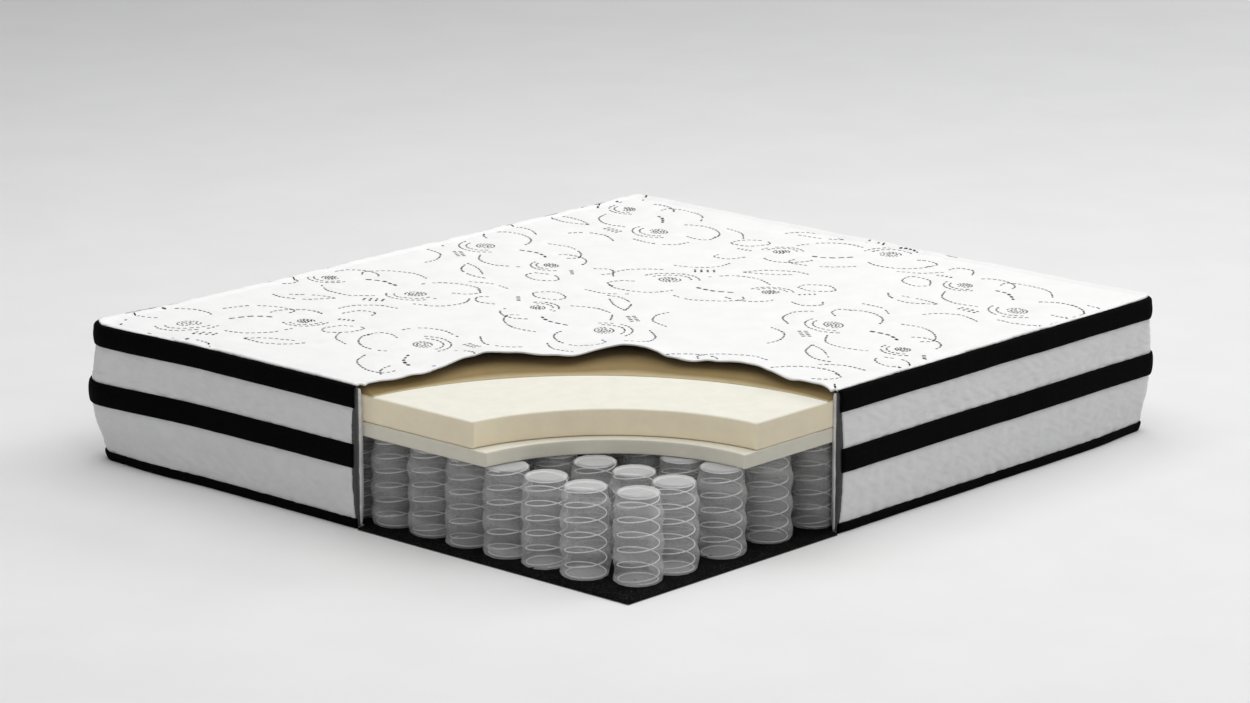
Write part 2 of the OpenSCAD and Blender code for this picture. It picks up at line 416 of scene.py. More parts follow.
# Needled black felt with pale fibres caught in it
FELT = mottled("speckled_felt", (230.0, 4.0, 0.75), (grey(0.001), (0.12, 0.12, 0.124)),
               (500.0, 6.0, 0.8, 0.0016, 0.8), (0.95, 0.0), (0.56, 0.72), Specular_IOR_Level=0.06)
# Bright drawn steel
WIRE = mottled("spring_wire", (60.0, 3.0), ((0.94, 0.94, 0.95), WHITE), (900.0, 2.0, 0.0001, 0.3),
               (0.35, 0.0), Metallic=0.15, Specular_IOR_Level=0.9)
TAPE = ribbed_tape("ribbed_tape")


# ---- the way round the border

def border_path():
    """Points, outward normals and distances along the border, from its cut end on the foot
    end round the far corners to its cut end on the side."""
    r, step = CORNER_R, 8 * MM
    w, l = HALF_W - r, HALF_L - r
    points, normals = [], []

    def straight(a, b, normal):
        a, b = np.array(a), np.array(b)
        count = max(2, int(np.linalg.norm(b - a) / step))
        for i in range(count):
            points.append(a + (b - a) * i / count)
            normals.append(normal)

    def bend(centre, start):
        for i in range(8):
            a = math.radians(start - 90 * i / 8)
            normal = (math.cos(a), math.sin(a))
            points.append(np.array(centre) + r * np.array(normal))
            normals.append(normal)

    straight((BORDER_CUT_X, -HALF_L), (-w, -HALF_L), (0, -1))
    bend((-w, -l), 270)
    straight((-HALF_W, -l), (-HALF_W, l), (-1, 0))
    bend((-w, l), 180)
    straight((-w, HALF_L), (w, HALF_L), (0, 1))
    bend((w, l), 90)
    straight((HALF_W, l), (HALF_W, BORDER_CUT_Y), (1, 0))
    points.append(np.array([HALF_W, BORDER_CUT_Y]))
    normals.append((1, 0))
    points, normals = np.array(points), np.array(normals, float)
    distance = np.concatenate([[0], np.cumsum(np.linalg.norm(np.diff(points, axis=0), axis=1))])
    return points, normals, distance


PATH, NORMALS, WAY = border_path()
PATH_TREE = tree_of(PATH)

# How far the border stands out of its flat CAD face, in mm, by height in mm
BULGE = [(0, -5), (24, -3), (60, 1), (110, 5), (150, 7), (205, 6), (250, 4), (300, 1), (356, -1)]
# How much further the foot of the border tucks in at the far corners, in mm, by height in mm
TUCK = [(0, -19), (40, -13), (120, -4), (200, 0), (356, 0)]

# How much shorter a round corner is than a square one, and the distance along the path to
# the middle of each corner
CORNER_ARC = CORNER_R * (2 - math.pi / 2)
TURNS = [BORDER_CUT_X + HALF_W - CORNER_ARC / 2,
         BORDER_CUT_X + HALF_W + 2 * HALF_L - CORNER_ARC * 3 / 2,
         BORDER_CUT_X + 3 * HALF_W + 2 * HALF_L - CORNER_ARC * 5 / 2]


# 1 at those corners, falling to 0 along the sides
CORNERNESS = np.array([max(eased(1 - abs(d - turn) / (260 * MM)) for turn in TURNS) for d in WAY])
# The foot end and its far corner stand out a little further than the other sides
FOOT_OUT = 9 * MM
FOOT_SWELL = FOOT_OUT * eased(1 - (WAY - TURNS[0]) / (300 * MM))
FOOT_CORNER = eased(1 - np.abs(WAY - TURNS[0]) / (420 * MM))
FOOT_SWELL += 18 * MM * FOOT_CORNER


def bulge(i, z):
    """How far the border stands out at path point i and heights z."""
    z_mm = np.asarray(z) / MM
    out = along(BULGE, z_mm) + along(TUCK, z_mm) * CORNERNESS[i]
    out = out + 12 * FOOT_CORNER[i] * hump(z_mm, 165, 95)
    return out * MM + FOOT_SWELL[i] + 1.0 * MM * swell(WAY[i], np.asarray(z), 0.9, 5)


def quilting(way, z):
    """Depth of the border's pressed swirls: curved channels between soft puffs, in metres."""
    u = way + 0.030 * np.sin(2 * math.pi * (z / 0.085 + 0.35 * np.sin(way * 9.0)))
    v = z + 0.022 * np.sin(2 * math.pi * (way / 0.120 + 0.3 * np.sin(z * 31.0)))
    rings = np.sin(2 * math.pi * u / 0.105) * np.sin(2 * math.pi * v / 0.070)
    arcs = np.sin(2 * math.pi * (u + v) / 0.160)
    channel = hump(rings, 0, 0.22) * 0.8 + hump(arcs, 0, 0.16) * 0.6
    return -2.1 * MM * channel + 0.8 * MM * swell(way, z, 0.05, 8)


def fabric_face(i, z):
    """Outer face of the border fabric: pulled in under the tapes, pressed in by the quilting."""
    lower = (z - FELT_TOP) / (MID_LOW + TAPE_OVER - FELT_TOP)
    upper = (z - MID_HIGH + TAPE_OVER) / (TOP_TAPE_LOW + 2 * TAPE_OVER - MID_HIGH)
    rise = np.where(z < (MID_LOW + MID_HIGH) / 2, lower, upper)
    pinch = -2.5 * MM * (1 - eased(np.minimum(rise, 1 - rise) * 6))
    return -FABRIC_IN + bulge(i, z) + pinch + quilting(WAY[i], z)


def shell_section(outer, inner, heights):
    """An outline between two faces, each given as how far out it stands at those heights."""
    return np.column_stack([np.concatenate([outer, inner[::-1]]),
                            np.concatenate([heights, heights[::-1]])])


# ---- border

def border_band(name, low, high, node):
    """One band of the white border fabric, puffed between the tapes that hold its edges."""
    heights = np.linspace(low, high, 40)

    def section(i):
        out = fabric_face(i, heights)
        return shell_section(out, out - FABRIC_THICK, heights)

    # The fabric is cut back by a point, so the fibre and the tapes' ends stand past it
    piece = sweep(name, section, BORDER_KNIT, 1, -1)
    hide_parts(node)
    squashed(piece)


def squashed(piece, height=PRESSED, anchor=0.0):
    """Hangs the piece on the base body and gives it a mesh of its own.
    The height is not used."""
    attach(piece, BASE)
    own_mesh(piece)


def pad_faces(i, heights):
    """Outer and inner face of the dark fibre, which swells out with the border."""
    outer = fabric_face(i, heights) - 3.1 * MM
    wander = 0.6 * MM * swell(WAY[i], heights, 0.05, 3)
    inner = np.maximum(outer - 15 * MM, -RAIL_IN + FOOT_SWELL[i]) + wander
    return outer, np.minimum(inner, outer - 5 * MM)


def make_padding():
    """The dark fibre in the border, and the pale lining inside it, which is turned in over the
    ends of the foam bars at the cut-away."""
    low, high = FELT_TOP, BORDER_TOP
    heights = np.linspace(low, high, 58)
    rise = (heights - low) / (high - low)
    deep = (5 + 2 * rise + 15 * np.sin(math.pi * rise) ** 0.7) * MM

    def pad_section(i):
        return shell_section(*pad_faces(i, heights), heights)

    def lining_section(i):
        outer = pad_faces(i, heights)[1] - 0.2 * MM
        inner = np.maximum(outer - deep, -CORE_IN - 0.1 * MM + 0.7 * FOOT_SWELL[i])
        inner = np.minimum(inner, outer - LINING_THICK)
        # Only the ends are turned in; between them it is flat
        if 1 < i < len(PATH) - 2:
            outer = inner + LINING_THICK
        return shell_section(outer, inner, heights)

    pad = sweep("border_padding_fibre", pad_section, DARK_PAD)
    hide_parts("border_padding")
    squashed(pad)
    cover = sweep("border_inner_lining", lining_section, LINING)
    squashed(cover)


def make_rails():
    """Four foam bars stand inside the border, butted at the corners of the mattress."""
    heights = np.linspace(FELT_TOP, RAIL_TOP, 18)
    rise = (heights - FELT_TOP) / (RAIL_TOP - FELT_TOP)
    pinch = 5 * MM * eased((rise - 0.8) / 0.2) + 6 * MM * eased(1 - rise / 0.3)

    def section(i):
        outer = -RAIL_IN + FOOT_SWELL[i] - 0.9 * MM + 0.5 * MM * swell(WAY[i], heights, 0.2, 4)
        outer = np.minimum(outer, pad_faces(i, heights)[1] - 0.4 * MM)
        inner = np.minimum(-CORE_IN + 0.7 * FOOT_SWELL[i] + pinch + 1.4 * MM, outer - 4 * MM)
        return shell_section(outer, inner, heights)

    ends = [2] + [int(np.argmin(np.abs(WAY - turn))) for turn in TURNS] + [len(PATH) - 3]
    names = ("rail_foot", "rail_left", "rail_head", "rail_right")
    for name, first, last in zip(names, ends, ends[1:]):
        rail = sweep(name + "_bar", section, EDGE_FOAM, first, last + 1)
        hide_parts(name)
        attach(rail, BASE)


def make_border():
    make_padding()
    make_rails()
    border_band("border_fabric_lower", FELT_TOP, MID_LOW + TAPE_OVER, "border_ticking_lower")
    border_band("border_fabric_upper", MID_HIGH - TAPE_OVER, PRESSED, "border_ticking_upper")


# ---- tapes

WAVER = 0.5 * MM * swell(WAY, WAY * 0, 0.06, 11) + 0.5 * MM * swell(WAY, WAY * 0, 0.4, 12)


def tape_outline(i, low, high, proud):
    """A puffed flat tape between two heights."""
    a = np.linspace(0, math.pi, 13)
    middle, half = (low + high) / 2, (high - low) / 2
    heights = middle - half * np.cos(a)
    puff = proud * np.sin(a) ** 0.45
    out = -FABRIC_IN + bulge(i, heights) + puff + WAVER[i]
    back = -FABRIC_IN + bulge(i, heights) - 1.5 * MM
    back[0], back[-1] = out[0] - 1.2 * MM, out[-1] - 1.2 * MM
    return shell_section(out, back, heights)


def middle_outline(i):
    shift = 0.8 * MM * swell(WAY[i], 0.0, 0.5, 13)
    return tape_outline(i, MID_LOW + shift, MID_HIGH + shift, 7 * MM)


def bottom_outline(i):
    shift = 0.8 * MM * swell(WAY[i], 0.0, 0.05, 15)
    return tape_outline(i, 0.5 * MM, BOTTOM_TAPE_HIGH + shift, 6 * MM)


def top_outline(i):
    """Up the side, round the edge and in over the quilt, then back behind itself."""
    low, lip, bend = TOP_TAPE_LOW, 7 * MM, 9 * MM
    shift = 0.7 * MM * swell(WAY[i], 0.0, 0.4, 17)
    edge = MATTRESS_TOP - 4 * MM + 0.5 * MM * swell(WAY[i], 0.0, 0.05, 18)
    face = -FABRIC_IN + bulge(i, low) + WAVER[i]
    turn = face + 4.2 * MM - bend
    side = [(face - 0.5 * MM, low + shift)]
    side += [(face + 6 * MM * math.sin(math.pi * t) ** 0.4, low + shift + (edge - bend - low) * t)
             for t in (0.04, 0.12, 0.25, 0.4, 0.55, 0.7, 0.82)]
    side += [(turn + bend * math.cos(a), edge - bend + bend * math.sin(a))
             for a in np.radians([0, 20, 40, 60, 80, 90])]
    side += [(turn - lip * 0.5, edge + 0.3 * MM), (turn - lip, edge - 1.2 * MM)]
    inside = [(turn - lip + 1 * MM, edge - 3.2 * MM), (turn - 1 * MM, edge - 3.2 * MM),
              (face - 1.5 * MM, edge - bend), (face - 1.5 * MM, low + 12 * MM),
              (face - 2.0 * MM, low + shift)]
    return np.array(side + inside)


def make_tape(name, node, outline, width):
    piece = sweep(name, outline, TAPE)
    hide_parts(node)
    return piece


def make_tapes():
    middle = make_tape("middle_binding_tape", "middle_tape", middle_outline, MID_HIGH - MID_LOW)
    squashed(middle)
    bottom = make_tape("bottom_binding_tape", "bottom_tape", bottom_outline, BOTTOM_TAPE_HIGH)
    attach(bottom, BASE)
    top = make_tape("top_binding_tape", "top_tape", top_outline, 80 * MM)
    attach(top, TOP)


# ---- slabs

def slab_outline(inset, cut, count):
    """The plan of a slab with its corner cut round, anticlockwise. Its last points, count of
    them, lie on the cut."""
    w, l = HALF_W - inset, HALF_L - inset
    r = max(CORNER_R - inset, 6 * MM)
    first = math.degrees(math.asin(inset / cut(0)))
    last = 90 - math.degrees(math.asin(inset / cut(90)))
    angles = np.linspace(last, first, count)
    points = list(from_corner(angles, cut(angles)))
    points[0][0], points[-1][1] = w, -l
    for cx, cy, start in ((-w + r, -l + r, 270), (-w + r, l - r, 180), (w - r, l - r, 90)):
        for i in range(9):
            a = math.radians(start - 90 * i / 8)
            points.append(np.array([cx + r * math.cos(a), cy + r * math.sin(a)]))
    return np.array(points)[::-1]


def inward(outline):
    """Unit directions that point into an anticlockwise outline, at each of its points."""
    def unit(way):
        return way / np.linalg.norm(way, axis=1)[:, None]

    ahead = unit(np.roll(outline, -1, 0) - outline)
    both = unit(ahead + unit(outline - np.roll(outline, 1, 0)))
    normal = np.column_stack([-both[:, 1], both[:, 0]])
    stretch = 1 / np.maximum((both * ahead).sum(1), 0.5)
    return normal * stretch[:, None]


def cap(outline_3d, start, up):
    """Triangles over a flat outline whose points are numbered from start."""
    triangles = geometry.tessellate_polygon([[Vector(p) for p in outline_3d]])
    out = []
    for a, b, c in triangles:
        p, q, s = (Vector(outline_3d[k]) for k in (a, b, c))
        turned = (q - p).cross(s - p).z > 0
        tri = (a, b, c) if turned == up else (a, c, b)
        out.append([k + start for k in tri])
    return out


def make_slab(name, node, cut, material, edge=3.5 * MM):
    """A foam slab with softly rounded edges and a slightly wavering cut face."""
    low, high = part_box(node)[0].z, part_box(node)[1].z
    outline = slab_outline(SLAB_IN, cut, 90)
    into = inward(outline)
    wave = 0.5 * MM * swell(outline[:, 0], outline[:, 1], 0.12, 21)
    turns = [(1, 0), (0.62, 0.08), (0.3, 0.3), (0.08, 0.62), (0, 1)]
    # The underside stands just clear of the slab below near its edge, so the joint shows
    gap = 1.1 * MM
    profile = [(24 * MM, low), (21 * MM, low + gap), (edge * 1.2, low + gap)]
    profile += [(edge * a, low + gap + edge * b) for a, b in turns[1:]]
    profile += [(0.4 * MM * math.sin(math.pi * t), low + edge + (high - low - 2 * edge) * t)
                for t in (0.25, 0.5, 0.75)]
    profile += [(edge * a, high - edge * b) for a, b in turns[::-1]]
    profile += [(edge + 6 * MM, high)]
    rows = [np.column_stack([outline + into * (depth + wave[:, None]), np.full(len(outline), z)])
            for depth, z in profile]
    count = len(outline)
    verts = np.concatenate(rows)
    faces = grid_faces(len(rows), count, wrap=True)
    faces += cap(rows[0], 0, up=False)
    faces += cap(rows[-1], (len(rows) - 1) * count, up=True)
    piece = mesh_piece(name, verts, faces, material)
    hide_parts(node)
    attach(piece, TOP)


def make_comfort_foam():
    """The foam under the quilt. Round the cut it is scooped out, from under the quilt's edge
    down onto the memory foam."""
    low, high = MEMORY_TOP, COMFORT_TOP
    under = 42 * MM

    def wall(angle):
        """Top of the scoop, set back under the quilt's edge."""
        ends = eased(np.minimum(angle, 90 - angle) / 14)
        return quilt_cut(angle) + under * (0.15 + 0.85 * ends)

    count = 150
    foot, head = slab_outline(SLAB_IN, foot_cut, count), slab_outline(SLAB_IN, wall, count)
    on_cut = np.arange(len(foot)) >= len(foot) - count
    lip = 1.2 * MM
    rows = [np.column_stack([foot, np.full(len(foot), low)])]
    shade = [np.zeros(len(foot))]
    for t in np.linspace(0, 1, 14):
        run = np.where(on_cut, t, 0.0)
        rise = lip + (high - low - lip) * np.where(on_cut, t ** 2.1, t)
        flat = foot + (head - foot) * run[:, None]
        rows.append(np.column_stack([flat, low + rise]))
        shade.append(np.where(on_cut, t, 0.3))
    inner = head + inward(head) * 8 * MM
    rows.append(np.column_stack([inner, np.full(len(foot), high)]))
    shade.append(np.ones(len(foot)))
    verts = np.concatenate(rows)
    faces = grid_faces(len(rows), len(foot), wrap=True)
    faces += cap(rows[0], 0, up=False)
    faces += cap(rows[-1], (len(rows) - 1) * len(foot), up=True)
    piece = mesh_piece("comfort_foam_scooped", verts, faces, TAN)
    # How far in under the quilt each point lies; the tan material darkens with it as painted shade.
    depth = piece.data.attributes.new("shade_under_quilt", "FLOAT", "POINT")
    depth.data.foreach_set("value", np.concatenate(shade).astype(np.float32))
    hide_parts("comfort_foam")
    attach(piece, TOP)


# ---- base

def flat_base(name, node, material, low, high, fuzz):
    """A thin whole sheet under everything, square at the cut-away corner."""
    step = 12 * MM
    xs = np.linspace(-HALF_W + UNDER_BORDER, HALF_W, int(2 * HALF_W / step))
    ys = np.linspace(-HALF_L, HALF_L - UNDER_BORDER, int(2 * HALF_L / step))
    gx, gy = np.meshgrid(xs, ys)
    # Behind the border the sheet stops short of the outside; at the cut-away it is square
    inner_x, inner_y = HALF_W - UNDER_BORDER, HALF_L - UNDER_BORDER
    gx = np.where((gy > BORDER_CUT_Y) & (gx > inner_x), inner_x, gx)
    gy = np.where((gx < BORDER_CUT_X) & (gy < -inner_y), -inner_y, gy)
    gy = np.where(gy < -HALF_L + MM, gy - FOOT_OUT, gy)
    top = high + fuzz * swell(gx, gy, 0.05, 31, 3)
    verts = np.concatenate([np.column_stack([gx.ravel(), gy.ravel(), z.ravel()])
                            for z in (top, np.full_like(top, low))])
    rows, columns = gx.shape
    size = rows * columns
    faces = grid_faces(rows, columns)
    faces += grid_faces(rows, columns, start=size, flip=True)
    at = np.arange(size).reshape(rows, columns)
    rim = np.concatenate([at[0], at[1:, -1], at[-1, -2::-1], at[-2:0:-1, 0]]).tolist()
    faces += [[a, a + size, b + size, b] for a, b in zip(rim, rim[1:] + rim[:1])]
    piece = mesh_piece(name, verts, faces, material)
    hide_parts(node)
    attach(piece, BASE)


def make_base():
    flat_base("bottom_cover_cloth", "bottom_cover", BASE_CLOTH, 0.0, 2 * MM, 0.0)
    flat_base("speckled_felt_pad", "felt_pad", FELT, 2 * MM, FELT_TOP, 0.35 * MM)


# ---- pocket springs

CAD_POCKET_R = 58.5 * MM
POCKET_R = 54.2 * MM        # a pocket where it is drawn in tightest to its coil
POCKET_TOP_R = 51 * MM
COIL_R = 48.5 * MM
WIRE_R = 1.35 * MM


def pocket_centres(row):
    """Centres of the pockets of a row, from the CAD row's own solids."""
    co = np.array([v.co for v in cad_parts[f"pocket_row_{row:02d}"].data.vertices])
    centres = []
    for x in np.linspace(co[:, 0].min() + CAD_POCKET_R, co[:, 0].max() - CAD_POCKET_R, COLUMNS):
        own = co[np.abs(co[:, 0] - x) < CAD_POCKET_R * 0.9, 1]
        centres.append((x, (own.min() + own.max()) / 2))
    return centres


def shown(x, y):
    """True for a pocket that the cut-away shows: round the corner, or in an outer row."""
    _, distance = polar(np.array([[x, y]]))
    return distance[0] < 620 * MM or (y < -850 * MM and x > 0) or (x > 740 * MM and y < -200 * MM)


def bend_in(distance, radius):
    """How far a rounded edge stands in, as a share of its radius, at a distance from its end."""
    return 1 - math.sqrt(max(1 - max(0, 1 - distance / radius) ** 2, 0))


def pocket_form(x, y, fine, pick):
    """A cloth pocket drawn over its coil: it swells in waves and narrows to a flat top."""
    around, rings = (80, 64) if fine else (28, 20)
    low, high = FELT_TOP + 0.3 * MM, POCKET_TOP - 0.3 * MM
    angle = np.linspace(0, 2 * math.pi, around, endpoint=False)
    phase, turn = pick.uniform(0, 2 * math.pi), pick.uniform(0, 2 * math.pi)
    lean = pick.uniform(-1, 1) * MM
    rim, foot = 5 * MM, 9 * MM
    rows = []
    for t in np.linspace(0, 1, rings):
        z = low + (high - low) * t
        wave = 2 * math.pi * (z - low) / (64 * MM) + phase + angle
        r = POCKET_R + 2.6 * MM * (1 + np.sin(wave))
        r = r + 0.35 * MM * (1 + np.sin(angle * 5 + turn + t * 11))
        r = r + (POCKET_TOP_R - r) * eased(1 - (high - z) / (52 * MM))
        r = r + 0.7 * MM * np.sin(angle * 13 + turn) * (eased(1 - (1 - t) * 7) + eased(1 - t * 9))
        # A tight bend at the top and a softer one at the foot
        r = r - rim * bend_in(high - z, rim) - foot * 0.75 * bend_in(z - low, foot)
        cx = x + lean * math.sin(math.pi * t)
        rows.append(np.column_stack([cx + r * np.cos(angle), y + r * np.sin(angle), np.full(around, z)]))
    for share in (0.9, 0.6, 0.3):
        last = rows[rings - 1]
        middle = last.mean(0)
        ring = middle + (last - middle) * share
        folds = share * np.sin(angle * 7 + turn + share * 4)
        ring[:, 2] = high - 0.5 * MM * (1 - share) + 0.5 * MM * folds
        rows.append(ring)
    verts = np.concatenate(rows + [[rows[-1].mean(0)], [rows[0].mean(0)]])
    faces = grid_faces(len(rows), around, wrap=True)
    tip, base = len(verts) - 2, len(verts) - 1
    start = (len(rows) - 1) * around
    faces += [[start + k, start + (k + 1) % around, tip] for k in range(around)]
    faces += [[(k + 1) % around, k, base] for k in range(around)]
    return verts, faces


def coil_form(x, y, fine, pick):
    """A spring of open turns, narrower and closed flat at each end."""
    sides, steps = (8, 48) if fine else (5, 18)
    low, high = FELT_TOP + 5 * MM, POCKET_TOP - 7 * MM
    turns, flat = 7.3, 0.8
    count = int(turns * steps)
    t = np.linspace(0, turns, count)
    z = low + (high - low) * np.clip((t - flat) / (turns - 2 * flat), 0, 1)
    r = COIL_R - 3 * MM * (1 - eased(np.minimum(t, turns - t) / 1.5))
    a = 2 * math.pi * (t + pick.uniform(0, 1))
    line = np.column_stack([x + r * np.cos(a), y + r * np.sin(a), z])
    out = np.column_stack([np.cos(a), np.sin(a), np.zeros(count)])
    ring = np.linspace(0, 2 * math.pi, sides, endpoint=False)[None, :, None]
    round_wire = np.cos(ring) * out[:, None, :] + np.sin(ring) * np.array([0, 0, 1.0])
    verts = (line[:, None, :] + WIRE_R * round_wire).reshape(-1, 3)
    faces = grid_faces(count, sides, wrap=True, flip=True)
    faces += [list(range(sides)), [(count - 1) * sides + k for k in range(sides)][::-1]]
    return verts, faces


def make_springs():
    for row in range(1, ROWS + 1):
        places = [(x, y, shown(x, y)) for x, y in pocket_centres(row)]
        pick = random.Random(100 + row)
        forms = [pocket_form(*place, pick) for place in places]
        pockets = joined(f"pocket_string_{row:02d}", forms, POCKET)
        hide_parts(f"pocket_row_{row:02d}")
        forms = [coil_form(*place, pick) for place in places]
        coils = joined(f"coil_set_{row:02d}", forms, WIRE)
        if f"coil_row_{row:02d}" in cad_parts:
            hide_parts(f"coil_row_{row:02d}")
        for piece in (pockets, coils):
            squashed(piece, POCKET_TOP, FELT_TOP)


# ---- quilted top

def scroll(points):
    """A smooth line through a few points (Catmull-Rom)."""
    p = np.array([points[0]] + list(points) + [points[-1]], float)
    out = []
    for i in range(1, len(p) - 2):
        for t in np.linspace(0, 1, 40, endpoint=False):
            out.append(0.5 * ((2 * p[i]) + (p[i + 1] - p[i - 1]) * t
                              + (2 * p[i - 1] - 5 * p[i] + 4 * p[i + 1] - p[i + 2]) * t ** 2
                              + (3 * p[i] - p[i - 1] - 3 * p[i + 1] + p[i + 2]) * t ** 3))
    out.append(p[-2])
    return np.array(out)


def arc(cx, cy, rx, ry, start, end):
    a = np.radians(np.linspace(start, end, 60))
    return np.column_stack([cx + rx * np.cos(a), cy + ry * np.sin(a)])


def bloom(cx, cy, size):
    """A flower: a dense heart of short dashes with rows of petal line round it."""
    heart = [(arc(cx, cy, r * size, r * size * 0.8, 25 * r, 25 * r + 345), 0.8) for r in (8, 17, 27)]
    return heart + [(arc(cx, cy, 74 * size, 66 * size, 196, 350), 1.0),
                    (arc(cx, cy, 54 * size, 48 * size, 200, 335), 0.9),
                    (arc(cx - 45 * size, cy + 78 * size, 84 * size, 62 * size, 12, 168), 1.2)]


def motif():
    """One repeat of the flower pattern, in mm about its middle: two flowers with leaves, hooks
    and tendrils, as curves with the weight of their dashes."""
    lines = bloom(-120, 5, 1.05) + bloom(165, 55, 0.8)
    curves = [
        (1.0, [(-238, 118), (-262, 88), (-240, 58), (-205, 50)]),
        (1.2, [(-268, 24), (-280, -28), (-240, -78), (-172, -96)]),
        (1.1, [(-36, -52), (24, -84), (92, -72), (140, -28)]),
        (1.0, [(214, -22), (262, 12), (318, -6), (292, -52), (232, -54), (214, -22)]),
        (1.2, [(36, -128), (92, -172), (164, -180), (212, -156)]),
        (0.9, [(36, -128), (100, -128), (166, -146)]),
        (2.3, [(-34, 60), (26, 88), (84, 84)]),
        (1.0, [(-64, 162), (-4, 196), (72, 190), (120, 160), (112, 128)]),
        (1.2, [(242, 136), (282, 168), (326, 150), (318, 112)]),
        (1.0, [(-160, -150), (-92, -144), (-40, -180), (-24, -228)]),
        (0.9, [(-300, 170), (-238, 196), (-176, 186)]),
    ]
    lines += [(scroll(points), weight) for weight, points in curves]
    for k in range(4):
        lines.append((np.array([(-88 + 16 * k, -112 - 4 * k), (-80 + 16 * k, -88 - 4 * k)]), 1.5))
        lines.append((np.array([(244 + 12 * k, 64 - 5 * k), (252 + 12 * k, 84 - 5 * k)]), 1.3))
    return lines


def placed_motifs():
    """The repeats over the whole top, as curves in metres with their weights."""
    pick = random.Random(23)
    out = []
    for column, x in enumerate((-640, -20, 600)):
        for row, y in enumerate((-800, -290, 220, 730)):
            flip = -1 if (row + column) % 2 else 1
            turn = math.radians((28, 205, -20, 160)[(row + 2 * column) % 4] + pick.uniform(-12, 12))
            spin = np.array([[math.cos(turn), math.sin(turn)],
                             [-math.sin(turn) * flip, math.cos(turn) * flip]])
            place = (x + pick.uniform(-20, 20), y + (0, 120, -60)[column] + pick.uniform(-20, 20))
            out += [(((line @ spin) + place) * MM, weight) for line, weight in motif()]
    return out


MOTIFS = placed_motifs()
QUILT_TREE = tree_of(np.concatenate([line for line, _ in MOTIFS if len(line) > 4]))
TOP_INSET = 11 * MM


def on_top(points, margin):
    """Which points lie on the quilted top, at least margin inside its edges."""
    x, y = points[:, 0], points[:, 1]
    inside = (np.abs(x) < HALF_W - TOP_INSET - margin) & (np.abs(y) < HALF_L - TOP_INSET - margin)
    angle, distance = polar(points)
    return inside & ((distance > quilt_cut(angle) + margin) | (angle < -0.5) | (angle > 90.5))


def seam_relief(x, y):
    """A sewn line round the top, and the gathered roll between it and the top tape."""
    edge = np.minimum(HALF_W - np.abs(x), HALF_L - np.abs(y))
    gathers = np.sin((x + y) * 2 * math.pi / 0.021 + 4 * swell(x, y, 0.06, 44))
    gathers = gathers * (1 + swell(x, y, 0.2, 45)) * hump(edge, 18 * MM, 8 * MM)
    seam, roll = hump(edge, 36 * MM, 5 * MM), hump(edge, 20 * MM, 9 * MM)
    return (-4.2 * seam + 3.4 * roll + 1.3 * gathers) * MM


def loose_edge(points):
    """How far the cut edge of the quilt lifts and ruffles."""
    angle, distance = polar(points)
    angle = np.clip(angle, 0, 90)
    gap = distance - quilt_cut(angle)
    ruffle = 1.2 * np.sin(np.radians(angle) * 31) + 0.7 * np.sin(np.radians(angle) * 73)
    lift = along(QUILT_LIFT, angle) + ruffle * eased(1 - gap / 0.05)
    return lift * MM * eased(1 - gap / 0.13) * eased(np.minimum(angle, 90 - angle) / 4)


def top_height(points):
    """Height of the quilted surface over plan points."""
    x, y = points[:, 0], points[:, 1]
    near = np.array([QUILT_TREE.find((px, py, 0))[2] for px, py in points])
    puff = 3.0 * (1 - hump(near, 0, 26 * MM))
    wrinkle = 0.35 * swell(x, y * 1.6, 0.035, 41) * hump(near, 0, 30 * MM)
    waves = 1.5 * swell(x, y, 0.34, 42) + 0.6 * swell(x, y, 0.12, 43)
    low = TICKING_TOP - 4.6 * MM
    return low + (puff + wrinkle + waves) * MM + seam_relief(x, y) + loose_edge(points)


def top_plan(step):
    """Outline and inside points of the quilted top, and triangles over them."""
    outline = slab_outline(TOP_INSET, quilt_cut, 260)
    fine = []
    for a, b in zip(outline, np.roll(outline, -1, 0)):
        pieces = max(1, int(np.linalg.norm(b - a) / step))
        fine += [a + (b - a) * k / pieces for k in range(pieces)]
    fine = np.array(fine)
    xs = np.arange(-HALF_W, HALF_W, step)
    ys = np.arange(-HALF_L, HALF_L, step)
    gx, gy = np.meshgrid(xs, ys)
    gx = gx + (np.arange(len(ys)) % 2)[:, None] * step / 2
    inside = np.column_stack([gx.ravel(), gy.ravel()])
    inside = inside[on_top(inside, step * 0.55)]
    points = np.concatenate([fine, inside])
    loop = [(i, (i + 1) % len(fine)) for i in range(len(fine))]
    made = geometry.delaunay_2d_cdt([Vector(p) for p in points], loop, [], 1, 1e-7)
    return np.array([tuple(v) for v in made[0]]), [list(f) for f in made[2]]


def spread(points):
    """The top reaches out to wherever the border under its edge stands."""
    found = [PATH_TREE.find((p[0], p[1], 0)) for p in points]
    nearest = np.array([f[1] for f in found])
    reach = eased(1 - np.array([f[2] for f in found]) / (180 * MM))
    return points + NORMALS[nearest] * (FOOT_SWELL[nearest] * reach)[:, None]


def layer(name, plan, heights, thick, edge_in, material):
    """A closed sheet that follows given heights, its cut edge set back by edge_in."""
    points, triangles = plan
    size = len(points)
    flat = spread(points)
    angle, distance = polar(points)
    near = (distance < quilt_cut(angle) + 3 * MM) & (angle > 0) & (angle < 90)
    flat[near] += (from_corner(angle, distance + edge_in) - points)[near]
    verts = np.column_stack([np.tile(flat, (2, 1)), np.concatenate([heights, heights - thick])])
    faces = triangles + [[k + size for k in f[::-1]] for f in triangles]
    edges = [edge for a, b, c in triangles for edge in ((a, b), (b, c), (c, a))]
    known = set(edges)
    faces += [[b, a, a + size, b + size] for a, b in edges if (b, a) not in known]
    return mesh_piece(name, verts, faces, material)


